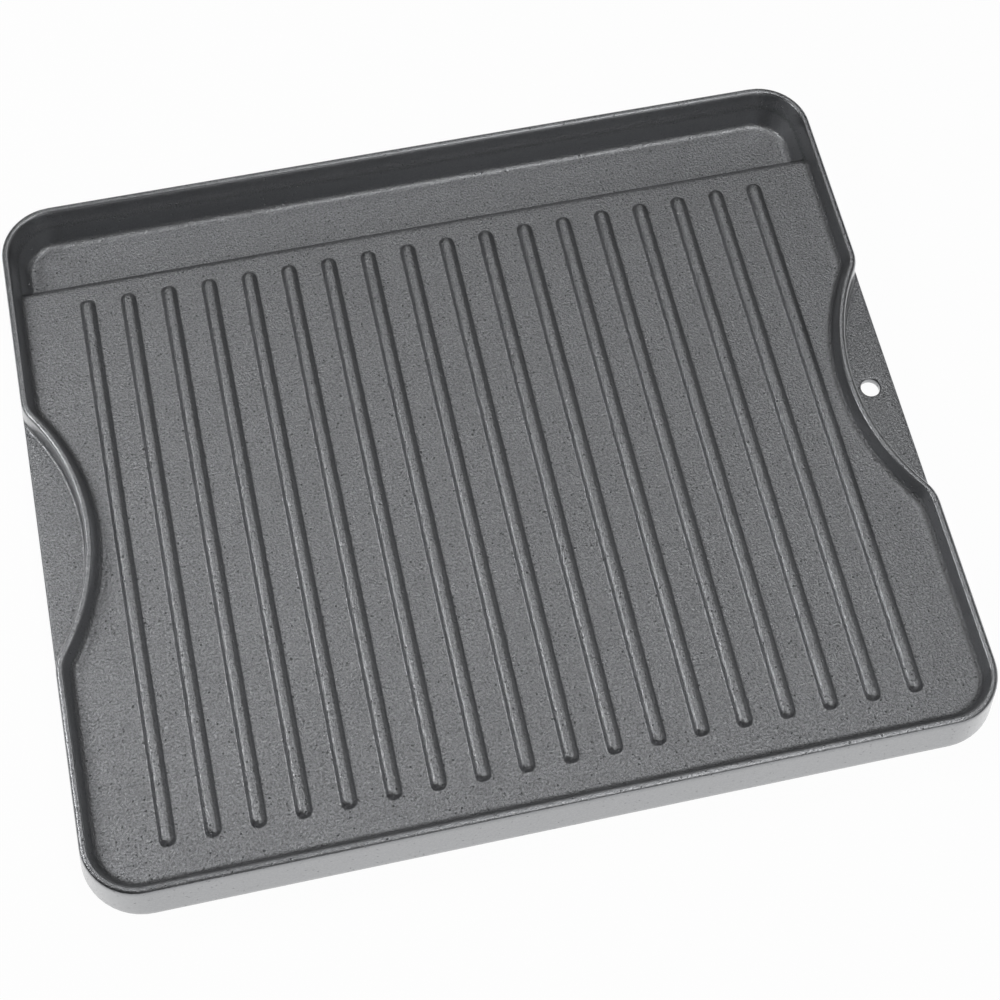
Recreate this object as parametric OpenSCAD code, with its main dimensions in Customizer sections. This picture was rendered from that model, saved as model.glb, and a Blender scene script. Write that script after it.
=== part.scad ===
// Camp griddle plate: one iron casting with a ribbed floor, a grease trough, two lifting ledges and a hanging hole.
// Millimetres. Origin: centre of the plate on the plane it rests on. +X across the ribs, +Y to the trough, +Z up.

/* [Plate outline at the rim top] */
// Width over the rim, across the ribs
rim_w = 400; // [360:1:440]
// Length over the rim, along the ribs
rim_l = 340.4; // [300:0.2:380]
// Corner radius of the rim's outer edge
corner_r = 24.6; // [18:0.2:36]
// Height from the resting plane to the rim top
total_h = 24.4; // [20:0.2:32]

/* [Rim and walls] */
// Width of the rim top over its rounded edges
rim_t = 3; // [2.4:0.1:4.4]
// Outward slope of the outer wall, run over fall
outer_flare = 0.14; // [0.04:0.01:0.2]
// Radius along the rim's outer top edge
rim_round_out = 1.6; // [0.4:0.1:1.6]
// Radius along the rim's inner top edge
rim_round_in = 1.2; // [0.4:0.1:1.2]

/* [Cooking floor] */
// Depth of the ribbed floor below the rim top
floor_depth = 8.4; // [7.6:0.2:10]
// Thickness of the floor web
web_t = 5; // [4:0.2:7]
// Radius of the cove between wall and ribbed floor
floor_cove_r = 2.5; // [1:0.1:6]

/* [Ribs] */
// Distance from rib to rib
rib_pitch = 19.33; // [12:0.01:24]
// Radius of a rib's rounded top
rib_r = 3.5; // [2.4:0.1:4.4]
// Height of a rib above the floor
rib_h = 2.9; // [1.6:0.1:3.4]
// Distance from the near rim line to the rib ends
rib_to_rim = 19.6; // [14:0.2:40]
// Flat floor from the rib ends to the rounded edge of the trough
rib_to_lip = 6.6; // [2:0.2:20]
// Least flat floor beside the outer ribs, where the recesses come closest
rib_side_gap = 4.4; // [0:0.1:6]

/* [Grease trough] */
// Thickness of the trough bottom
trough_bottom_t = 4; // [3:0.2:6]
// Width from the trough's rounded edge to the far rim
trough_w = 44.2; // [34:0.2:60]
// Radius of the rounded edge between floor and trough
lip_r = 5; // [3:0.2:6]
// Radius of the coves along the trough bottom
trough_cove_r = 4; // [2:0.2:5]
// Thickness of the wall between the trough and the hollow underside, at the trough floor
trough_wall_t = 7; // [5:0.2:10]

/* [Lifting ledges] */
// Length of a finger recess between the centres of its rounded ends
recess_len = 135; // [110:1:160]
// Depth of a finger recess at its middle
recess_depth = 20.25; // [15:0.25:24]
// Radius of the rounded ends of a recess
recess_end_r = 12; // [11:0.2:16]
// Depth of the ledge top below the rim top
ledge_depth = 11.4; // [9.6:0.2:13]
// Thickness of a ledge
ledge_t = 4.5; // [3:0.1:6]
// Break along the ledge edges
ledge_break = 0.8; // [0.3:0.1:1.2]
// How far the ledge edge stands inside the outer wall's plane
ledge_set = 0.2; // [0.1:0.1:1]

/* [Hanging hole] */
// Diameter of the hanging hole
hole_d = 9; // [5:0.5:11]
// Distance from the hole's centre to the rim line beside the recess
hole_inset = 10; // [8:0.2:12]
// Depth of the countersunk break round the hole
hole_break = 0.6; // [0.3:0.1:1]

/* [Underside] */
// Width of the foot under the outer wall
foot_land = 7; // [5:0.2:9]
// Break along the outer edge of the foot
foot_break = 1.5; // [0.6:0.1:2]
// Draft of the foot's inner face, as the run over its height
foot_draft = 2; // [1:0.2:3]
// Bevel in the corner between the foot and the floor's underside
under_bevel = 2; // [1:0.2:3]

/* [Hidden] */
$fn = 96;

// Slope of every inner wall, run over fall: the 7-24-25 triangle keeps the cove tangents exact.
wall_run = 7 / 24;
slope_in = 0.28;
slope_up = 0.96;
cove_tan = 0.75;
// How far cutting shapes run past the faces that they cut.
over = 1;
// How far the floor slab and the carried wall profiles run into each other.
lap = 4;

half_w = rim_w / 2;
half_l = rim_l / 2;
floor_z = total_h - floor_depth;
under_z = floor_z - web_t;
trough_z = trough_bottom_t;
trough_depth = total_h - trough_bottom_t;
ledge_z = total_h - ledge_depth;
ledge_low = ledge_z - ledge_t;

// Outward offset of the outer wall from the rim line at height z.
function flare_at(z) = outer_flare * (total_h - z);
// Inward offset of the inner wall from the rim line at depth d below the rim top.
function wall_at(d) = rim_t + d * wall_run;
// Inward offset of the end of a cove of radius r on a floor at depth d.
function cove_end(d, r) = wall_at(d) + r * cove_tan;

flare_foot = flare_at(0);
flare_norm = sqrt(1 + outer_flare * outer_flare);
// Distances from the rim's sharp edges to where their roundings begin.
round_out_len = rim_round_out * (flare_norm - outer_flare);
round_in_len = rim_round_in * cove_tan;
// How far the carried wall profile reaches in from the rim line.
strip = max(cove_end(floor_depth, floor_cove_r), cove_end(trough_depth, trough_cove_r)) + lap;
// Where the floor slab ends inside the walls, measured in from the rim line.
let_in = (rim_t + wall_at(floor_depth)) / 2;
// How far a ledge is let into the recess wall.
ledge_let_in = foot_land / 2;

lip_y = half_l - trough_w;
lip_foot = lip_y + lip_r * cove_tan + (floor_z - trough_z) * wall_run;
back_y = lip_foot - trough_wall_t;

corner_x = half_w - corner_r;
corner_y = half_l - corner_r;
end_y = recess_len / 2;
end_x = half_w - recess_end_r;
recess_reach = (end_y * end_y + recess_depth * recess_depth) / (2 * recess_depth);
recess_r = recess_reach - recess_end_r;
recess_x = end_x + recess_reach - recess_depth;

// The ribs run from near the front wall to near the trough, as many as fit between the two recesses.
rib_len = rim_l - trough_w - rib_to_rim - rib_to_lip;
rib_mid_y = lip_y - rib_to_lip - rib_len / 2;
rib_span = 2 * (half_w - recess_depth - cove_end(floor_depth, floor_cove_r) - rib_side_gap - rib_r);
rib_count = floor(rib_span / rib_pitch) + 1;

// Outer half of the wall profile, from the foot to the rim: x is outward from the rim line, y is height.
function outer_points() = [
    [flare_foot - foot_break, 0],
    [flare_at(foot_break), foot_break],
    [round_out_len * outer_flare / flare_norm, total_h - round_out_len / flare_norm],
    [-round_out_len, total_h],
    [round_in_len - rim_t, total_h],
    [-rim_t - round_in_len * slope_in, total_h - round_in_len * slope_up]
];

// Wall with an inner cove of radius r running onto a floor at depth d; under is the polygon's underside.
module coved_wall(d, r, under) {
    foot_u = wall_at(d);
    tan_len = r * cove_tan;
    difference() {
        polygon(concat(
            outer_points(),
            [[tan_len * slope_in - foot_u, total_h - d + tan_len * slope_up]],
            [[-cove_end(d, r), total_h - d]],
            [[-strip, total_h - d]],
            under
        ));
        translate([-cove_end(d, r), total_h - d + r]) circle(r);
    }
    translate([-round_out_len, total_h - rim_round_out]) circle(rim_round_out);
    translate([round_in_len - rim_t, total_h - rim_round_in]) circle(rim_round_in);
}

// Wall round the ribbed floor: hollow underneath.
module floor_wall() {
    foot_in = flare_foot - foot_land;
    coved_wall(floor_depth, floor_cove_r, [
        [-strip, under_z],
        [foot_in - foot_draft - under_bevel, under_z],
        [foot_in - foot_draft, under_z - under_bevel],
        [foot_in, 0]
    ]);
}

// Wall round the trough: solid down to the resting plane.
module trough_wall() {
    coved_wall(trough_depth, trough_cove_r, [[-strip, 0]]);
}

// Straight run of a profile along +Y with its rim line at x = 0.
module run(len) {
    rotate([90, 0, 0]) mirror([0, 0, 1]) linear_extrude(height = len) children();
}

// Profile set at radius r and cut off at the axis it turns about.
module at_radius(r) {
    intersection() {
        translate([r, 0]) children();
        translate([0, -over]) square([r + flare_foot + over, total_h + 2 * over]);
    }
}

// Quarter turn of a profile round a convex corner of radius corner_r.
module quarter() {
    rotate_extrude(angle = 90) at_radius(corner_r) children();
}

// Rounded end of a recess, between the side's straight rim and the recess arc.
module recess_end() {
    intersection() {
        translate([end_x, end_y, 0]) rotate_extrude() at_radius(recess_end_r) floor_wall();
        translate([0, 0, -over]) linear_extrude(height = total_h + 2 * over)
            polygon([[end_x, end_y], [recess_x, 0], [recess_x, end_y]]);
    }
}

// Arc of the recess: the wall profile turned inside out about the recess centre.
module recess_arc() {
    wedge_x = recess_x - 2 * (recess_x - end_x);
    intersection() {
        translate([recess_x, 0, 0]) rotate_extrude() mirror([1, 0]) translate([-recess_r, 0]) floor_wall();
        translate([0, 0, -over]) linear_extrude(height = total_h + 2 * over)
            polygon([[recess_x, 0], [wedge_x, 2 * end_y], [wedge_x, -2 * end_y]]);
    }
}

// Ledge that fills the lower part of one recess, its edge on the outer wall's slope.
module ledge() {
    reach = recess_r + ledge_let_in;
    intersection() {
        translate([0, reach, 0]) rotate([90, 0, 0]) linear_extrude(height = 2 * reach) polygon([
            [half_w - recess_depth - strip, ledge_low],
            [half_w + flare_at(ledge_low) - ledge_set - ledge_break, ledge_low],
            [half_w + flare_at(ledge_low + ledge_break) - ledge_set, ledge_low + ledge_break],
            [half_w + flare_at(ledge_z - ledge_break) - ledge_set, ledge_z - ledge_break],
            [half_w + flare_at(ledge_z) - ledge_set - ledge_break, ledge_z],
            [half_w - recess_depth - strip, ledge_z]
        ]);
        translate([recess_x, 0, 0]) cylinder(r = reach, h = total_h);
    }
}

// Walls and ledge of the +X side, from the near corner to the far one.
module side() {
    translate([half_w, -corner_y, 0]) run(corner_y - end_y) floor_wall();
    recess_end();
    recess_arc();
    mirror([0, 1, 0]) recess_end();
    translate([half_w, end_y, 0]) run(lip_y - end_y) floor_wall();
    translate([half_w, lip_y, 0]) run(corner_y - lip_y) trough_wall();
    translate([corner_x, corner_y, 0]) quarter() trough_wall();
    translate([corner_x, -corner_y, 0]) rotate([0, 0, -90]) quarter() floor_wall();
    ledge();
}

// Floor web, rounded edge and trough bottom, drawn as one section along Y.
module slab_section() {
    near_y = strip - lap / 2 - half_l;
    far_y = half_l - strip + lap / 2;
    tan_len = lip_r * cove_tan;
    cove_len = trough_cove_r * cove_tan;
    difference() {
        polygon([
            [near_y, floor_z],
            [lip_y + tan_len, floor_z],
            [lip_foot - cove_len * slope_in, trough_z + cove_len * slope_up],
            [lip_foot + cove_len, trough_z],
            [far_y, trough_z],
            [far_y, 0],
            [back_y, 0],
            [back_y - foot_draft, under_z - under_bevel],
            [back_y - foot_draft - under_bevel, under_z],
            [near_y, under_z]
        ]);
        translate([lip_foot + cove_len, trough_z + trough_cove_r]) circle(trough_cove_r);
        difference() {
            polygon([
                [lip_y, floor_z],
                [lip_y, floor_z + over],
                [lip_y + tan_len + over, floor_z + over],
                [lip_y + tan_len * (1 + slope_in), floor_z - tan_len * slope_up],
                [lip_y, floor_z - lip_r]
            ]);
            translate([lip_y, floor_z - lip_r]) circle(lip_r);
        }
    }
}

module slab() {
    difference() {
        rotate([90, 0, 90]) linear_extrude(height = rim_w - 2 * let_in, center = true) slab_section();
        for (s = [-1, 1])
            translate([s * recess_x, 0, -over]) cylinder(r = recess_r + let_in, h = total_h + 2 * over);
    }
}

// One rib: a bar with spherical ends, sunk so that rib_h stands above the floor.
module rib() {
    bar = rib_len / 2 - rib_r;
    rotate([90, 0, 0]) rotate_extrude() intersection() {
        union() {
            square([2 * rib_r, 2 * bar], center = true);
            translate([0, bar]) circle(rib_r);
            translate([0, -bar]) circle(rib_r);
        }
        translate([0, -rib_len]) square([2 * rib_r, 2 * rib_len]);
    }
}

module ribs() {
    for (i = [0 : rib_count - 1])
        translate([(i - (rib_count - 1) / 2) * rib_pitch, rib_mid_y, floor_z + rib_h - rib_r]) rib();
}

// Through bore with a countersunk break at both faces of the ledge.
module hanging_hole() {
    wide = hole_d + 4 * hole_break;
    translate([half_w - hole_inset, 0, 0]) {
        translate([0, 0, ledge_low - over]) cylinder(d = hole_d, h = ledge_t + 2 * over);
        translate([0, 0, ledge_z - hole_break]) cylinder(d1 = hole_d, d2 = wide, h = 2 * hole_break);
        translate([0, 0, ledge_low - hole_break]) cylinder(d1 = wide, d2 = hole_d, h = 2 * hole_break);
    }
}

module griddle_casting() {
    color([0.2, 0.2, 0.21]) difference() {
        union() {
            side();
            mirror([1, 0, 0]) side();
            translate([corner_x, half_l, 0]) rotate([0, 0, 90]) run(2 * corner_x) trough_wall();
            translate([-corner_x, -half_l, 0]) rotate([0, 0, -90]) run(2 * corner_x) floor_wall();
            slab();
            ribs();
        }
        hanging_hole();
    }
}

griddle_casting();
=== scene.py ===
"""Camp griddle plate: one sand-cast iron plate, dressed as it looks after fettling and oiling.

The frame is the CAD frame. Shapes are worked out in millimetres and become metres once, when the
casting is closed.
"""
import math

import bpy
import numpy as np
from mathutils import Matrix, Vector


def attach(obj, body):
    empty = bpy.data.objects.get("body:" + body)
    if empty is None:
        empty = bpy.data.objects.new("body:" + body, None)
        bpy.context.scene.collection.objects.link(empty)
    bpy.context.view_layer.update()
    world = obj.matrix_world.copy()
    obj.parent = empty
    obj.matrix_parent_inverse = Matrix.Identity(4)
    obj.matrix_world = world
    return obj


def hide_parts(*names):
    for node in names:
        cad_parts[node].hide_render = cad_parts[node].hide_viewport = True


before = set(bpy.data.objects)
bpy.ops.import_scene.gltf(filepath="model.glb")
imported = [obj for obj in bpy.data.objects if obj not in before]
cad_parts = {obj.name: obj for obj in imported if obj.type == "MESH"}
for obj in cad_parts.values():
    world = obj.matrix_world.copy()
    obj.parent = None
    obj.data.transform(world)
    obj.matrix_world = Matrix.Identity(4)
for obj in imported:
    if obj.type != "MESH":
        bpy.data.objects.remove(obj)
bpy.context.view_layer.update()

# Rim line
# The outer edge of the rim top, which the pattern maker draws first, because every wall follows it.
# It has straight sides, round corners, and a finger recess with rounded ends in the middle of each side.
HALF_W = 200.0
HALF_L = 170.2
CORNER_R = 24.6
CORNER_X = HALF_W - CORNER_R
CORNER_Y = HALF_L - CORNER_R
END_R = 18.0
END_X = HALF_W - END_R
END_Y = 67.5
RECESS_DEPTH = 20.25
RECESS_REACH = (END_Y ** 2 + RECESS_DEPTH ** 2) / (2 * RECESS_DEPTH)
RECESS_R = RECESS_REACH - END_R
RECESS_X = END_X + RECESS_REACH - RECESS_DEPTH
RECESS_TURN = math.asin(END_Y / RECESS_REACH)
# The sheet of the cooking floor meets the sheet of the wall this far inside the rim line.
SEAM = 8.2
SEAM_CORNER = CORNER_R - SEAM
SEAM_END = END_R - SEAM
SEAM_RECESS = RECESS_R + SEAM
SEAM_JOIN = SEAM_RECESS * math.sin(RECESS_TURN)


def side_of_rim(y):
    """Points and outward normals of the rim line's +X side, found from the y of their points on the seam.

    On every arc the seam has its own radius about the same centre, so y = centre + radius * sin(turn).
    """
    size = np.abs(y)
    half = np.sign(y)
    corner = np.arccos(np.clip((size - CORNER_Y) / SEAM_CORNER, 0, 1))
    end = np.arcsin(np.clip((END_Y - size) / SEAM_END, 0, 1))
    arc = np.arcsin(np.clip(y / SEAM_RECESS, -1, 1))
    zones = [size > CORNER_Y, size > END_Y, size > SEAM_JOIN]
    nx = np.select(zones, [np.sin(corner), np.ones_like(y), np.cos(end)], np.cos(arc))
    ny = np.select(zones, [half * np.cos(corner), np.zeros_like(y), -half * np.sin(end)], -np.sin(arc))
    zone_x = [CORNER_X + CORNER_R * nx, HALF_W * nx, END_X + END_R * nx]
    zone_y = [half * CORNER_Y + CORNER_R * ny, y, half * END_Y + END_R * ny]
    px = np.select(zones, zone_x, RECESS_X - RECESS_R * nx)
    py = np.select(zones, zone_y, -RECESS_R * ny)
    return np.stack([px, py], -1), np.stack([nx, ny], -1)


def inside_rim(x, y):
    """Distance in from the rim line: the least of the rounded rectangle's and the recess's distances."""
    ax = np.abs(x)
    ay = np.abs(y)
    qx = ax - CORNER_X
    qy = ay - CORNER_Y
    to_corner = np.hypot(np.maximum(qx, 0), np.maximum(qy, 0))
    rectangle = CORNER_R - to_corner - np.minimum(np.maximum(qx, qy), 0)
    ex = ax - END_X
    ey = END_Y - ay
    on_end = ex * math.sin(RECESS_TURN) > ey * math.cos(RECESS_TURN)
    recess = np.where(on_end, END_R - np.hypot(ex, ey), np.hypot(ax - RECESS_X, y) - RECESS_R)
    return np.minimum(rectangle, np.where(ay > END_Y, HALF_W - ax, recess))


# Cooking floor, ribs and grease trough
# The upper face of the casting: a flat floor with 18 cast ribs, and a deeper trough along the far edge.
# Small coves run floor and trough into the walls, as the pattern's fillets left them.
RIM_Z = 24.4
RIM_T = 3.0
FLOOR_Z = 16.0
TROUGH_Z = 4.0
FLOOR_COVE = 3.4
TROUGH_COVE = 4.0
# Inner walls fall 24 over a run of 7, which is 73.74 degrees, so a cove of radius r ends 0.75 r in
# from their foot.
WALL_FALL = 24 / 7
WALL_TURN = 73.74
COVE_TAN = 0.75
COVE_SIN = 0.96
COVE_COS = 0.28
LIP_Y = 126.0
LIP_R = 5.0
LIP_WALL_Y = LIP_Y + COVE_SIN * LIP_R
LIP_WALL_Z = FLOOR_Z - LIP_R + COVE_COS * LIP_R
LIP_END = LIP_Y + COVE_TAN * (LIP_R + TROUGH_COVE) + (FLOOR_Z - TROUGH_Z) / WALL_FALL
# The floor's cove stops short at the trough, over this small step.
STEP_AT = 125.7
STEP_RUN = 1.2
# Round the ends of the finger recesses the wall leans by this share more, over this length each way.
BEND_LEAN = 0.30
BEND_RUN = 12.0
RIB_COUNT = 18
RIB_PITCH = 19.33
RIB_R = 3.5
RIB_SUNK = 0.6
RIB_AXIS_Z = FLOOR_Z - RIB_SUNK
RIB_NEAR = -147.1
RIB_FAR = 115.9
RIB_ROOT = 0.9
ROOT_AT = math.sqrt((RIB_R + RIB_ROOT) ** 2 - (FLOOR_Z - RIB_AXIS_Z + RIB_ROOT) ** 2)
ROOT_TOUCH = ROOT_AT * RIB_R / (RIB_R + RIB_ROOT)


def coved(d, level, r):
    """Height of the inner wall and of its cove of radius r onto a level, d in from the rim line.

    The wall falls evenly. The cove is the lowest part of a circle: level + r - root(r * r - run * run).
    """
    end = RIM_T + (RIM_Z - level) / WALL_FALL + COVE_TAN * r
    run = np.clip(end - d, 0, COVE_SIN * r)
    cove = level + r - np.sqrt(r * r - run * run)
    wall = RIM_Z - (d - RIM_T) * WALL_FALL
    return np.where(end - d > COVE_SIN * r, wall, cove)


def lip(y):
    """Level along the plate: floor, rounded edge of radius LIP_R, sloped wall, cove and trough bottom."""
    over = np.clip(y - LIP_Y, 0, COVE_SIN * LIP_R)
    edge = FLOOR_Z - LIP_R + np.sqrt(LIP_R ** 2 - over ** 2)
    wall = LIP_WALL_Z - (y - LIP_WALL_Y) * WALL_FALL
    run = np.clip(LIP_END - y, 0, COVE_SIN * TROUGH_COVE)
    cove = TROUGH_Z + TROUGH_COVE - np.sqrt(TROUGH_COVE ** 2 - run ** 2)
    return np.where(y < LIP_WALL_Y, edge, np.where(LIP_END - y > COVE_SIN * TROUGH_COVE, wall, cove))


def cooking_face(d, y):
    """Height of floor, trough and inner walls at distance d in from the rim line and at y along the plate.

    The wall's run is divided by its extra lean, a bell curve about each recess end, so its foot bends
    in a wider curve.
    A smooth step in y goes over from the floor to the trough.
    """
    lean = 1 + BEND_LEAN * np.exp(-((np.abs(y) - END_Y) / BEND_RUN) ** 2)
    d = np.where(d > RIM_T, RIM_T + (d - RIM_T) / lean, d)
    t = np.clip((y - STEP_AT) / STEP_RUN, 0, 1)
    t = t * t * (3 - 2 * t)
    floor = coved(d, FLOOR_Z, FLOOR_COVE)
    trough = np.maximum(coved(d, TROUGH_Z, TROUGH_COVE), lip(y))
    return floor + (trough - floor) * t


def ribs(x, y):
    """Height of the nearest rib: a bar of radius RIB_R with round ends, and a root fillet onto the floor.

    Bar and fillet are circles in r, the distance from the rib's middle line.
    """
    middle = (RIB_COUNT - 1) / 2
    number = np.clip(np.round(x / RIB_PITCH + middle), 0, RIB_COUNT - 1)
    across = x - (number - middle) * RIB_PITCH
    beyond = np.maximum(np.maximum(RIB_NEAR - y, y - RIB_FAR), 0)
    r = np.hypot(across, beyond)
    bar = RIB_AXIS_Z + np.sqrt(np.maximum(RIB_R ** 2 - r ** 2, 0))
    root = FLOOR_Z + RIB_ROOT - np.sqrt(np.maximum(RIB_ROOT ** 2 - (ROOT_AT - r) ** 2, 0))
    return np.where(r < ROOT_TOUCH, bar, np.where(r < ROOT_AT, root, TROUGH_Z))


points = []
faces = []


def add_points(x, y, z):
    """Keep a sheet's points and give back their numbers, in the sheet's own shape."""
    sheet = np.stack(np.broadcast_arrays(x, y, z), -1)
    first = sum(len(kept) for kept in points)
    points.append(sheet.reshape(-1, 3))
    return first + np.arange(sheet[..., 0].size).reshape(sheet.shape[:-1])


def quads(numbers):
    """Quads between the neighbouring rows and columns of a sheet's point numbers."""
    return np.stack([numbers[:-1, :-1], numbers[:-1, 1:], numbers[1:, 1:], numbers[1:, :-1]], -1)


# Rows along the plate: close together on arcs, at rib ends, on the trough's edge and in its coves.
# A ledge begins where its straight edge, just inside the flared outer wall, meets the end of the recess.
FLARE = 0.14
LEDGE_Z = 13.0
LEDGE_SET = 0.2
LEDGE_FLARE = FLARE * (RIM_Z - LEDGE_Z)
LEDGE_END = math.acos((END_R - LEDGE_SET + LEDGE_FLARE) / (END_R + LEDGE_FLARE))
# Steps out from a rib's middle line, over the bar to the edge of its root, and the first one past it.
RIB_STEPS = np.array([0, 0.9, 1.7, 2.35, 2.85, 3.15, 3.4, 3.7, 4.14])
PAST_RIB_END = 4.6
PAST_RIB_SIDE = 4.9
corner_rows = -CORNER_Y - SEAM_CORNER * np.cos(np.radians(np.arange(0, 68, 7.5)))
rib_near_rows = RIB_NEAR - np.append(RIB_STEPS, PAST_RIB_END)[::-1]
near_side_rows = np.array([-CORNER_Y, -138, -124, -106, -90, -77, -70, -END_Y])
end_rows = END_Y - SEAM_END * np.sin([LEDGE_END, math.radians(17), math.radians(25), RECESS_TURN])
arc_rows = np.array([60.5, 57, 52.5, 47.5, 42, 36.5, 31, 25.5, 20, 15, 11, 8, 6.4, 4.8, 3.2, 1.6])
recess_rows = np.concatenate([-end_rows, -arc_rows, [0], arc_rows[::-1], end_rows[::-1]])
far_side_rows = np.array([END_Y, 70, 77, 90, 104])
rib_far_rows = RIB_FAR + np.concatenate([[-2], RIB_STEPS, [PAST_RIB_END]])
floor_end_rows = np.array([122.5, 124.5, 125.4])
lip_rows = LIP_Y + LIP_R * np.sin(np.radians([0, 9, 18, 27, 36, 46, 56, 65]))
lip_wall_rows = np.array([LIP_WALL_Y, 131.6])
lip_foot_rows = LIP_END - TROUGH_COVE * np.sin(np.radians([WALL_TURN, 62, 50, 38, 26, 13, 0]))
trough_rows = np.array([139.5, 143, CORNER_Y, 147.3, 149, 150.7, 152.4, 154, 155.5, 157])
FAR_COVE_Y = HALF_L - RIM_T - (RIM_Z - TROUGH_Z) / WALL_FALL - COVE_TAN * TROUGH_COVE
far_cove_rows = FAR_COVE_Y + TROUGH_COVE * np.sin(np.radians([0, 12, 24, 34, 44, 53, 61]))
row_y = np.concatenate([
    corner_rows, rib_near_rows, near_side_rows, recess_rows, far_side_rows, rib_far_rows, floor_end_rows,
    lip_rows, lip_wall_rows, lip_foot_rows, trough_rows, far_cove_rows, [HALF_L - SEAM]])
side_at, side_out = side_of_rim(row_y)

# Columns across the plate: each rib has its own, and the rest reach out to the seam in every row.
rib_x = (np.arange(RIB_COUNT) - (RIB_COUNT - 1) / 2) * RIB_PITCH
rib_side = np.append(RIB_STEPS, PAST_RIB_SIDE)
rib_columns = (rib_x[:, None] + np.concatenate([-rib_side[:0:-1], rib_side])).ravel()
columns = np.sort(np.concatenate([rib_columns, rib_x[:-1] + RIB_PITCH / 2]))
margin_steps = np.array([0.25, 0.5, 0.67, 0.77, 0.835, 0.885, 0.93, 0.97, 1])
seam_x = (side_at - SEAM * side_out)[:, :1]
margin = columns[-1] + (seam_x - columns[-1]) * margin_steps
floor_x = np.hstack([-margin[:, ::-1], np.broadcast_to(columns, (len(row_y), len(columns))), margin])
floor_y = np.broadcast_to(row_y[:, None], floor_x.shape)
floor_h = np.maximum(cooking_face(inside_rim(floor_x, floor_y), floor_y), ribs(floor_x, floor_y))
floor_no = add_points(floor_x, floor_y, floor_h)
faces.append(quads(floor_no).reshape(-1, 4))

# Wall, rim and foot
# The raised wall round the plate, cast in one with the floor: coved inside, flat-topped, flared outside.
# Its profile is carried along the whole rim line, from the seam over the rim and down to the foot.
FLARE_TURN = math.atan(FLARE)
RIM_ROUND_IN = 1.2
RIM_ROUND_OUT = 1.6
ROUND_IN = RIM_ROUND_IN * COVE_TAN
ROUND_OUT = RIM_ROUND_OUT * (math.hypot(1, FLARE) - FLARE)
FOOT_ROUND = 1.8
FOOT_TAN = FOOT_ROUND * math.tan((math.pi / 2 + FLARE_TURN) / 2)
LEDGE_UP = 14.4
LEDGE_DOWN = 7.5


def flare(z):
    """Outward offset of the outer wall from the rim line: FLARE times the depth of z below the rim."""
    return FLARE * (RIM_Z - z)


far_x = floor_x[-1, 1:-1]
near_x = floor_x[0, 1:-1]
mirror = np.array([-1.0, 1.0])
ones = np.ones_like(far_x)
path = np.concatenate([
    side_at, np.stack([far_x[::-1], HALF_L * ones], -1),
    (side_at * mirror)[::-1], np.stack([near_x, -HALF_L * ones], -1)])
outward = np.concatenate([
    side_out, np.stack([0 * ones, ones], -1),
    (side_out * mirror)[::-1], np.stack([0 * ones, -ones], -1)])
seam_no = np.concatenate([floor_no[:, -1], floor_no[-1, -2:0:-1], floor_no[::-1, 0], floor_no[0, 1:-1]])

wall_in = np.array([7.7, 7.3, 6.8, 6.25, 5.7, 5.2, 4.74, 4.2, 3.75])
wall_y = path[:, 1:] - wall_in * outward[:, 1:]
wall_h = cooking_face(np.broadcast_to(wall_in, wall_y.shape), wall_y)
turn_in = np.radians([WALL_TURN, 55, 36, 18, 0])
turn_out = np.append(np.radians([0, 20, 40, 60]), math.pi / 2 - FLARE_TURN)
wall_down = np.array([21, 18, LEDGE_UP, LEDGE_DOWN, 4])
turn_foot = np.append(math.pi / 2 + FLARE_TURN, np.radians([72, 48, 24, 0]))
rim_u = np.concatenate([
    ROUND_IN - RIM_T - RIM_ROUND_IN * np.sin(turn_in), RIM_ROUND_OUT * np.sin(turn_out) - ROUND_OUT,
    flare(wall_down), flare(0) - FOOT_TAN + FOOT_ROUND * np.sin(turn_foot)])
rim_h = np.concatenate([
    RIM_Z - RIM_ROUND_IN * (1 - np.cos(turn_in)), RIM_Z - RIM_ROUND_OUT * (1 - np.cos(turn_out)),
    wall_down, FOOT_ROUND - FOOT_ROUND * np.cos(turn_foot)])
wall_u = np.concatenate([-wall_in, rim_u])
wall_z = np.hstack([wall_h, np.broadcast_to(rim_h, (len(path), len(rim_h)))])
wall_xy = path[:, None] + wall_u[:, None] * outward[:, None]
wall_no = add_points(wall_xy[..., 0], wall_xy[..., 1], wall_z)

# Hollow underside
# The casting is hollow under the floor: a foot runs round it, and the trough stands solid behind.
# The foot's inner face has draft so that the pattern drew from the sand, and a fillet runs it into the web.
POCKET_IN = 3.584
POCKET_R = 6.0
POCKET_BACK = 126.25
POCKET_SIDE = HALF_W - POCKET_IN
# Past this place the hollow's side leaves the rim line and turns across to its back.
POCKET_LEAVES = 106.0
pocket_in = np.array([-0.5, -0.12, 0.12, 1.95, 2.2, 2.8, 3.7, 4.8])
pocket_h = np.array([0, 0.12, 0.6, 8.4, 9.6, 10.5, 10.92, 11])
rows = len(row_y)
last_row = int(np.searchsorted(row_y, POCKET_LEAVES))
turn_y = POCKET_BACK - POCKET_R
straight = turn_y - row_y[last_row]
bend = POCKET_R * math.pi / 2
tail = POCKET_SIDE - POCKET_R - side_at[-1, 0]
along = (straight + bend + tail) * np.arange(1, rows - last_row) / (rows - last_row - 1)
angle = np.clip((along - straight) / POCKET_R, 0, math.pi / 2)
back_x = POCKET_SIDE - POCKET_R + POCKET_R * np.cos(angle) - np.maximum(along - straight - bend, 0)
back_y = turn_y + POCKET_R * np.sin(angle) - np.maximum(straight - along, 0)
side_pocket = side_at - POCKET_IN * side_out
side_pocket[last_row + 1:] = np.stack([back_x, back_y], -1)
side_face = side_out.copy()
side_face[last_row + 1:] = np.stack([np.cos(angle), np.sin(angle)], -1)
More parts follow.
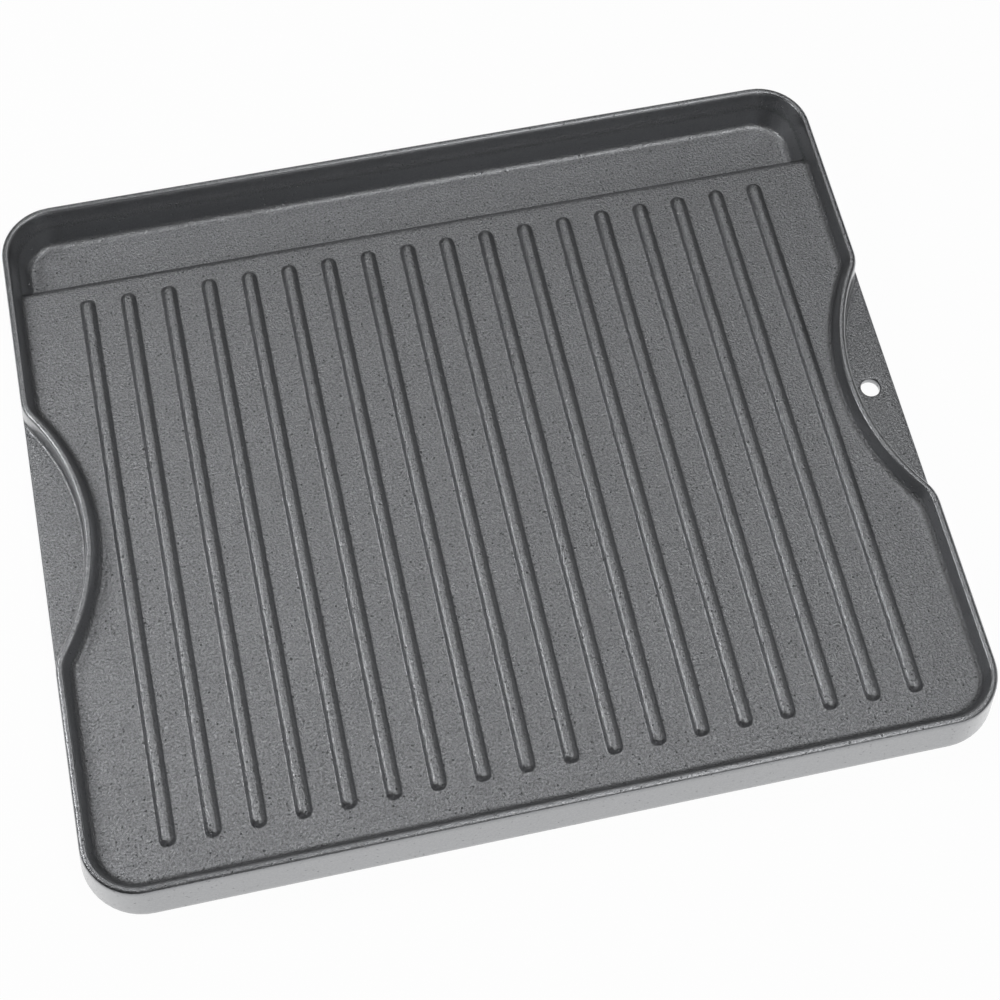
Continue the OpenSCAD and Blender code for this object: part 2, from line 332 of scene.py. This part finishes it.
pocket = np.concatenate([
    side_pocket, np.stack([far_x[::-1], POCKET_BACK * ones], -1),
    (side_pocket * mirror)[::-1], np.stack([near_x, (POCKET_IN - HALF_L) * ones], -1)])
pocket_face = np.concatenate([
    side_face, np.stack([0 * ones, ones], -1), (side_face * mirror)[::-1], np.stack([0 * ones, -ones], -1)])
pocket_xy = pocket[:, None] - pocket_in[:, None] * pocket_face[:, None]
pocket_no = add_points(pocket_xy[..., 0], pocket_xy[..., 1], np.broadcast_to(pocket_h, pocket_xy.shape[:2]))

ring = np.hstack([seam_no[:, None], wall_no, pocket_no])
ring_quads = quads(np.vstack([ring, ring[:1]]))
keep_quad = np.ones(ring_quads.shape[:2], bool)

# The web's underside is ruled from side to side, with one plain face at each end.
web = ring[:, -1]
web_right = web[:rows]
web_left = web[rows + len(far_x):2 * rows + len(far_x)][::-1]
web_far = web[rows:rows + len(far_x)][::-1]
web_near = web[2 * rows + len(far_x):]
web_rows = np.stack([web_right, web_left], -1)[1:last_row + 1]
faces.append(quads(web_rows).reshape(-1, 4))
near_face = [web_left[1], web_right[1], web_right[0], *web_near[::-1], web_left[0]]
far_face = [*web_left[last_row:], *web_far, *web_right[last_row:][::-1]]
end_faces = [near_face, far_face]

# Lifting ledges
# A thin ledge fills the lower part of each finger recess, so that hands can lift the plate with a cloth.
# It is cast in one with the wall, with a small root fillet and rounded edges.
LEDGE_LOW = 8.5
LEDGE_ROOT = 1.2
LEDGE_EDGE = 0.9
# Where the ledge narrows, its root and its rounding keep to this share of its width.
LEDGE_SHARE = 0.4
# The root fillet under the ledge is flatter by this factor.
UNDER_FLAT = 0.6
over_steps = np.array([0.06, 0.1525, 0.245, 0.3375, 0.43, 0.5225, 0.615, 0.7075, 0.8])
root_turn = np.radians([0, 30, 60, 90])
edge_turn = np.radians([0, 32, 62, 90])
under_turn = np.radians([90, 45, 0])
loop_up = wall_in.size + turn_in.size + turn_out.size + 3


def ledge_sheet(first, last):
    """Numbers of a ledge's points: its profile at each section of the recess, from wall to wall.

    The profile starts on the wall above, goes over the root, top, edge and underside, and ends on the
    wall below.
    """
    at = np.abs(path[first:last + 1, :1])
    face = np.abs(outward[first:last + 1, :1])

    def edge(z):
        """Offset of the straight edge line from the rim line at height z: (edge x - rim x) / normal x."""
        return (HALF_W + flare(z) - LEDGE_SET - at) / face

    wide = np.maximum(edge(LEDGE_Z) - flare(LEDGE_Z), 0)
    root = np.minimum(LEDGE_ROOT, LEDGE_SHARE * wide)
    rounding = np.minimum(LEDGE_EDGE, LEDGE_SHARE * wide)
    root_z = LEDGE_Z + root * (1 - np.sin(root_turn))
    root_u = flare(root_z) + root * (1 - np.cos(root_turn))
    top_in = flare(LEDGE_Z) + root
    top_u = top_in + over_steps * (edge(LEDGE_Z) - rounding - top_in)
    edge_z = LEDGE_Z - rounding * (1 - np.cos(edge_turn))
    edge_u = edge(edge_z) - rounding * (1 - np.sin(edge_turn))
    low_z = LEDGE_LOW + rounding * (1 - np.sin(edge_turn))
    low_u = edge(low_z) - rounding * (1 - np.cos(edge_turn))
    under_in = flare(LEDGE_LOW) + root
    bottom_u = under_in + over_steps[::-1] * (edge(LEDGE_LOW) - rounding - under_in)
    under_z = LEDGE_LOW - root * (1 - np.sin(under_turn)) * UNDER_FLAT
    under_u = flare(under_z) + root * (1 - np.cos(under_turn))
    u = np.hstack([root_u, top_u, edge_u, low_u, bottom_u, under_u])
    flat = np.ones_like(top_u)
    z = np.hstack([root_z, LEDGE_Z * flat, edge_z, low_z, LEDGE_LOW * flat, under_z])
    # At both ends of the recess the profile lies flat on the wall.
    z[[0, -1]] = np.linspace(LEDGE_UP, LEDGE_DOWN, z.shape[1] + 2)[1:-1]
    u[[0, -1]] = flare(z[[0, -1]])
    xy = path[first:last + 1, None] + u[..., None] * outward[first:last + 1, None]
    inner = add_points(xy[..., 0], xy[..., 1], z)
    above_no = ring[first:last + 1, loop_up:loop_up + 1]
    below_no = ring[first:last + 1, loop_up + 1:loop_up + 2]
    return np.hstack([above_no, inner, below_no])


end_row = int(np.argmin(np.abs(row_y + end_rows[0])))
far_row = int(np.argmin(np.abs(row_y - end_rows[0])))
right_ledge = ledge_sheet(end_row, far_row)
left_first = 2 * rows + len(far_x) - 1 - far_row
left_last = 2 * rows + len(far_x) - 1 - end_row
left_ledge = ledge_sheet(left_first, left_last)
right_quads = quads(right_ledge)
faces.append(quads(left_ledge).reshape(-1, 4))
for first, last, sheet in ((end_row, far_row, right_ledge), (left_first, left_last, left_ledge)):
    keep_quad[first - 1:last + 1, loop_up] = False
    before = ring[first - 1]
    after = ring[last + 1]
    end_faces.append([before[loop_up], before[loop_up + 1], *sheet[0, ::-1]])
    end_faces.append([*sheet[-1], after[loop_up + 1], after[loop_up]])
faces.append(ring_quads[keep_quad])

# Hanging hole
# A plain hole through the right ledge to hang the plate by, cored in the casting, with softened edges.
# It takes the place of a block of the ledge's quads: loops run from the block into the bore and out below.
HOLE_X = 190.0
HOLE_R = 4.5
HOLE_SOFT = 1.0
HOLE_REACH = 8.1
TOP_FIRST = root_turn.size + 1
TOP_LAST = TOP_FIRST + over_steps.size - 1
LOW_LAST = TOP_LAST + 2 * edge_turn.size + 1
LOW_FIRST = LOW_LAST + over_steps.size - 1
hole_rows = np.flatnonzero(np.abs(row_y[end_row:far_row + 1]) < HOLE_REACH)
hole_near = hole_rows[0]
hole_far = hole_rows[-1]
keep_ledge = np.ones(right_quads.shape[:2], bool)
keep_ledge[hole_near:hole_far, TOP_FIRST:TOP_LAST] = False
keep_ledge[hole_near:hole_far, LOW_LAST:LOW_FIRST] = False
faces.append(right_quads[keep_ledge])


def block_edge(inner, outer):
    """Point numbers round a block of the ledge, from its wall side to its edge side and back."""
    step = 1 if outer > inner else -1
    across = np.arange(inner, outer, step)
    there = right_ledge[hole_near:hole_far, inner]
    out_way = right_ledge[hole_far, across]
    back = right_ledge[hole_far:hole_near:-1, outer]
    in_way = right_ledge[hole_near, across[::-1] + step]
    return np.concatenate([there, out_way, back, in_way])


above = block_edge(TOP_FIRST, TOP_LAST)
below = block_edge(LOW_FIRST, LOW_LAST)
everything = np.concatenate(points)
hole_angle = np.arctan2(everything[above, 1], everything[above, 0] - HOLE_X)
soft = np.radians([0, 30, 60, 90])
bore_r = np.concatenate([
    HOLE_R + HOLE_SOFT * (1 - np.sin(soft)), HOLE_R + HOLE_SOFT * (1 - np.sin(soft[::-1]))])
bore_z = np.concatenate([
    LEDGE_Z - HOLE_SOFT * (1 - np.cos(soft)), LEDGE_LOW + HOLE_SOFT * (1 - np.cos(soft[::-1]))])
bore_x = HOLE_X + bore_r[:, None] * np.cos(hole_angle)
bore_y = bore_r[:, None] * np.sin(hole_angle)
bore_no = add_points(bore_x, bore_y, bore_z[:, None])
spool = np.vstack([above, bore_no, below])
spool = np.hstack([spool, spool[:, :1]])
faces.append(quads(spool.T).reshape(-1, 4))

# Casting
# All the sheets share the points along their seams, so the plate closes into one solid skin.
# One iron casting: nothing is fixed to it, and nothing on it moves.
MM = 0.001
all_quads = np.concatenate(faces)
used, all_quads = np.unique(all_quads, return_inverse=True)
vertices = np.concatenate(points)[used] * MM
end_faces = [np.searchsorted(used, face).tolist() for face in end_faces]
polygons = all_quads.reshape(-1, 4).tolist() + end_faces
skin = bpy.data.meshes.new("griddle_plate")
skin.from_pydata(vertices, [], polygons)
skin.shade_smooth()
plate = bpy.data.objects.new("griddle_plate", skin)
bpy.context.scene.collection.objects.link(plate)
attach(plate, "root")
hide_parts("griddle_casting")

# Level faces took a coarse grain from the sand; walls and roundings slid out of it on their draft and are
# smoother. Hands rub the rim smoother still. Along the foot of the walls a band is painted dark, as shade
# in the crease where wall meets floor, and it is made duller there as well.
# A face is smooth where the upward part of its normal is under STEEP, and coarse where it is over LEVEL.
STEEP = 0.87
LEVEL = 0.99
RIB_COARSE = 0.35
RUBBED = 0.3
RUBBED_DOWN = 1.0
# Painted shade along the walls' foot: it is darkest this far in from the rim line, fades over this run each
# way, and reaches this high above and below the floor.
FOOT_SHADE_IN = 6.2
FOOT_SHADE_RUN = 1.8
FOOT_SHADE_UP = 2.6


def paint(name, value):
    """Set a value on each of the casting's points, for its material to read."""
    skin.attributes.new(name, "FLOAT", "POINT").data.foreach_set("value", value.astype(np.float32))


normals = np.empty(3 * len(vertices), np.float32)
skin.vertex_normals.foreach_get("vector", normals)
at_x, at_y, at_z = vertices.T / MM
inside = inside_rim(at_x, at_y)
coarse = np.clip((normals[2::3] - STEEP) / (LEVEL - STEEP), 0, 1)
coarse = np.where(inside > SEAM, np.maximum(coarse, RIB_COARSE), coarse)
coarse = np.where(at_z > RIM_Z - RUBBED_DOWN, RUBBED * coarse, coarse)
# Painted shade: a dark band along the foot of the inner walls, where wall and floor meet.
painted_foot_shade = np.clip(1 - np.abs(inside - FOOT_SHADE_IN) / FOOT_SHADE_RUN, 0, 1)
painted_foot_shade = np.where(np.abs(at_z - FLOOR_Z) < FOOT_SHADE_UP, painted_foot_shade, 0)
paint("coarse", np.maximum(coarse, painted_foot_shade))
paint("painted_foot_shade", painted_foot_shade)

# As-cast iron
# Grey iron as it left the sand, blasted and oiled: a close pebbled grain of random tone, whose colour is
# also painted lighter on its crowns and darker in its hollows, as painted light and shade on the relief.
# Small pits lie scattered in it, their colour painted dark as shade inside them, and the oil took unevenly,
# so its gloss changes from place to place.
IRON = (0.270, 0.275, 0.285, 1.0)
# Colour of the painted shade along the foot of the walls.
IRON_FOOT_SHADE = (0.157, 0.160, 0.166, 1.0)
# Painted shade inside the pits.
IRON_PIT_SHADE = (0.152, 0.155, 0.160, 1.0)
# Painted light on the grain's crowns and painted shade in its hollows.
IRON_LIGHT = (0.466, 0.475, 0.492, 1.0)
IRON_DARK = (0.182, 0.185, 0.191, 1.0)
GRAIN_SCALE = 1000.0
GRAIN_SPAN = (0.25, 0.75)
GRAIN_HEIGHT = 0.0006
WALL_GRAIN = 0.2
PIT_SCALE = 300.0
PIT_SPAN = (0.06, 0.16)
PIT_DEPTH = 0.0003
PATCH_SCALE = 28.0
PATCH_SPAN = (0.3, 0.7)
WHOLE = (0.0, 1.0)
WALL_ROUGHNESS = 0.30
SATIN = 0.47
DULL = 0.53
OIL_FILM = 0.8
OIL_ROUGHNESS = 0.15
iron = bpy.data.materials.new("as_cast_iron")
iron.use_nodes = True
iron_nodes = iron.node_tree.nodes
iron_links = iron.node_tree.links
iron_skin = iron_nodes["Principled BSDF"]
iron_skin.inputs["Metallic"].default_value = 1.0
iron_skin.inputs["Coat Weight"].default_value = OIL_FILM
iron_skin.inputs["Coat Roughness"].default_value = OIL_ROUGHNESS
place = iron_nodes.new("ShaderNodeTexCoord")


def noise(scale, detail, roughness, distortion=0.0):
    """Noise in the casting's own coordinates; scale is in waves per metre."""
    node = iron_nodes.new("ShaderNodeTexNoise")
    node.inputs["Scale"].default_value = scale
    node.inputs["Detail"].default_value = detail
    node.inputs["Roughness"].default_value = roughness
    node.inputs["Distortion"].default_value = distortion
    iron_links.new(place.outputs["Object"], node.inputs["Vector"])
    return node.outputs["Fac"]


def spread(source, span, to_span):
    """Map a value evenly from one span to another, held at both ends."""
    node = iron_nodes.new("ShaderNodeMapRange")
    node.inputs["From Min"].default_value = span[0]
    node.inputs["From Max"].default_value = span[1]
    node.inputs["To Min"].default_value = to_span[0]
    node.inputs["To Max"].default_value = to_span[1]
    iron_links.new(source, node.inputs["Value"])
    return node.outputs["Result"]


def blended(share, first, second):
    """Colour that goes evenly from the first to the second as the share goes from 0 to 1.

    Each of the two is a colour or a socket.
    """
    node = iron_nodes.new("ShaderNodeMix")
    node.data_type = "RGBA"
    iron_links.new(share, node.inputs["Factor"])
    for socket, colour in (("A", first), ("B", second)):
        if isinstance(colour, tuple):
            node.inputs[socket].default_value = colour
        else:
            iron_links.new(colour, node.inputs[socket])
    return node.outputs["Result"]


def painted(name):
    """A value that was set on the casting's points."""
    node = iron_nodes.new("ShaderNodeAttribute")
    node.attribute_name = name
    return node.outputs["Fac"]


def dent(height, depth, strength=None, below=None):
    """Bump of the given depth in metres, times a strength and on another bump where these are given."""
    node = iron_nodes.new("ShaderNodeBump")
    node.inputs["Distance"].default_value = depth
    iron_links.new(height, node.inputs["Height"])
    if strength:
        iron_links.new(strength, node.inputs["Strength"])
    if below:
        iron_links.new(below, node.inputs["Normal"])
    return node.outputs["Normal"]


grain = noise(GRAIN_SCALE, detail=2.0, roughness=0.6, distortion=0.5)
patches = noise(PATCH_SCALE, detail=3.0, roughness=0.6)
pit_cells = iron_nodes.new("ShaderNodeTexVoronoi")
pit_cells.inputs["Scale"].default_value = PIT_SCALE
iron_links.new(place.outputs["Object"], pit_cells.inputs["Vector"])
pits = spread(pit_cells.outputs["Distance"], PIT_SPAN, WHOLE)
coarseness = painted("coarse")
grain_share = spread(coarseness, WHOLE, (WALL_GRAIN, 1.0))
# The grain's colour follows its bump: a random tone, painted lighter on the crowns and darker in the
# hollows.
grain_tone_and_shade = blended(spread(grain, GRAIN_SPAN, WHOLE), IRON_DARK, IRON_LIGHT)
# The pits are painted dark, as shade inside their dents.
pit_shaded_grain = blended(pits, IRON_PIT_SHADE, grain_tone_and_shade)
iron_before_foot_shade = blended(grain_share, IRON, pit_shaded_grain)
# The painted shade along the walls' foot darkens the base colour there.
iron_links.new(blended(painted("painted_foot_shade"), iron_before_foot_shade, IRON_FOOT_SHADE), iron_skin.inputs["Base Color"])
# Roughness goes from the smooth wall's to that of the patch, which lies between satin and dull.
roughness = spread(coarseness, WHOLE, (WALL_ROUGHNESS, DULL))
iron_links.new(spread(patches, PATCH_SPAN, (SATIN, DULL)), roughness.node.inputs["To Max"])
iron_links.new(roughness, iron_skin.inputs["Roughness"])
relief = dent(grain, GRAIN_HEIGHT, grain_share, dent(pits, PIT_DEPTH))
iron_links.new(relief, iron_skin.inputs["Normal"])
iron_links.new(relief, iron_skin.inputs["Coat Normal"])
skin.materials.append(iron)

# Table
# A plain white table that the plate lies on: white to the camera and in the metal, and it keeps the
# plate's soft shadow. Far off it turns up a little all round, so that low views end in white too.
TABLE = 16.0
TURNED_UP = 1.2
WHITE_SHARE = 0.97
PAPER = (0.86, 0.86, 0.86, 1.0)
table_line = np.array([-TABLE - TURNED_UP, -TABLE, TABLE, TABLE + TURNED_UP])
table_x, table_y = np.meshgrid(table_line, table_line)
table_z = np.where(np.maximum(np.abs(table_x), np.abs(table_y)) > TABLE, TURNED_UP, 0.0)
table_points = np.stack([table_x, table_y, table_z], -1).reshape(-1, 3)
table_quads = quads(np.arange(table_x.size).reshape(table_x.shape)).reshape(-1, 4)
table_mesh = bpy.data.meshes.new("table")
table_mesh.from_pydata(table_points, [], table_quads.tolist())
table = bpy.data.objects.new("table", table_mesh)
bpy.context.scene.collection.objects.link(table)
white = bpy.data.materials.new("white_table")
white.use_nodes = True
white_nodes = white.node_tree.nodes
white_links = white.node_tree.links
white_nodes.remove(white_nodes["Principled BSDF"])
paper = white_nodes.new("ShaderNodeBsdfDiffuse")
paper.inputs["Color"].default_value = PAPER
glow = white_nodes.new("ShaderNodeEmission")
glow.inputs["Strength"].default_value = 1.0
ray = white_nodes.new("ShaderNodeLightPath")
seen = white_nodes.new("ShaderNodeMath")
seen.operation = "MAXIMUM"
white_links.new(ray.outputs["Is Camera Ray"], seen.inputs[0])
white_links.new(ray.outputs["Is Glossy Ray"], seen.inputs[1])
seen_through = white_nodes.new("ShaderNodeMath")
seen_through.operation = "MAXIMUM"
white_links.new(seen.outputs[0], seen_through.inputs[0])
white_links.new(ray.outputs["Is Transmission Ray"], seen_through.inputs[1])
share = white_nodes.new("ShaderNodeMath")
share.operation = "MULTIPLY"
share.inputs[1].default_value = WHITE_SHARE
white_links.new(seen_through.outputs[0], share.inputs[0])
white_mix = white_nodes.new("ShaderNodeMixShader")
white_links.new(share.outputs[0], white_mix.inputs["Fac"])
white_links.new(paper.outputs[0], white_mix.inputs[1])
white_links.new(glow.outputs[0], white_mix.inputs[2])
white_links.new(white_mix.outputs[0], white_nodes["Material Output"].inputs["Surface"])
table_mesh.materials.append(white)

# Studio light
# Soft boxes round the table: the key close on the left, two high over the near right, two dim fills at the
# near side, and a long one high at the far side. Low strips stand near, far and right, in a dim room.
ROOM = 0.04


def softbox(name, azimuth, height, distance, size, radiance):
    """A rectangular soft box aimed at the plate; angles in degrees, azimuth from +X toward +Y.

    Its place is distance times the direction of both angles, and its power is radiance times pi times area.
    """
    around = math.radians(azimuth)
    up = math.radians(height)
    level = math.cos(up)
    at = distance * Vector((level * math.cos(around), level * math.sin(around), math.sin(up)))
    lamp = bpy.data.lights.new(name, "AREA")
    lamp.shape = "RECTANGLE"
    lamp.size = size[0]
    lamp.size_y = size[1]
    lamp.energy = radiance * math.pi * size[0] * size[1]
    box = bpy.data.objects.new(name, lamp)
    box.matrix_world = Matrix.Translation(at) @ (-at).to_track_quat("-Z", "Y").to_matrix().to_4x4()
    bpy.context.scene.collection.objects.link(box)


softbox("key_left", 167, 41, 0.85, (0.29, 0.27), 6.8)
softbox("near_high", 298, 59, 1.4, (0.40, 0.38), 2.8)
softbox("overhead", 332, 77, 1.5, (0.45, 0.45), 5.6)
softbox("near_right", 315, 40, 1.3, (0.70, 0.45), 0.7)
softbox("near_side", 270, 40, 1.4, (0.90, 0.45), 0.25)
softbox("near_low", 285, 8, 1.5, (1.20, 0.30), 1.3)
softbox("far_high", 77, 60, 1.6, (1.40, 0.42), 1.8)
softbox("far_low", 90, 12, 1.5, (1.20, 0.60), 0.4)
softbox("right_low", 0, 12, 1.5, (1.20, 0.50), 0.4)
room = bpy.data.worlds.new("room")
bpy.context.scene.world = room
room.use_nodes = True
room_nodes = room.node_tree.nodes
room_nodes["Background"].inputs["Color"].default_value = (1.0, 1.0, 1.0, 1.0)
room_nodes["Background"].inputs["Strength"].default_value = ROOM

# Camera
# Stands where the photograph was taken from: in front of the plate and left of its middle, looking down.
# The lens and the frame's width are in millimetres.
CAMERA_AT = Vector((-0.0882, -0.37693, 0.80825))
CAMERA_AIM = Vector((0.00578, -0.02279, 0.016))
CAMERA_ROLL = math.radians(2.756)
FRAME_WIDTH = 36.0
FOCAL_LENGTH = 69.0
lens = bpy.data.cameras.new("camera")
lens.sensor_fit = "HORIZONTAL"
lens.sensor_width = FRAME_WIDTH
lens.lens = FOCAL_LENGTH
camera = bpy.data.objects.new("camera", lens)
look = (CAMERA_AIM - CAMERA_AT).to_track_quat("-Z", "Y").to_matrix().to_4x4()
camera.matrix_world = Matrix.Translation(CAMERA_AT) @ look @ Matrix.Rotation(CAMERA_ROLL, 4, "Z")
bpy.context.scene.collection.objects.link(camera)
bpy.context.scene.camera = camera
bpy.context.scene.view_settings.view_transform = "Standard"
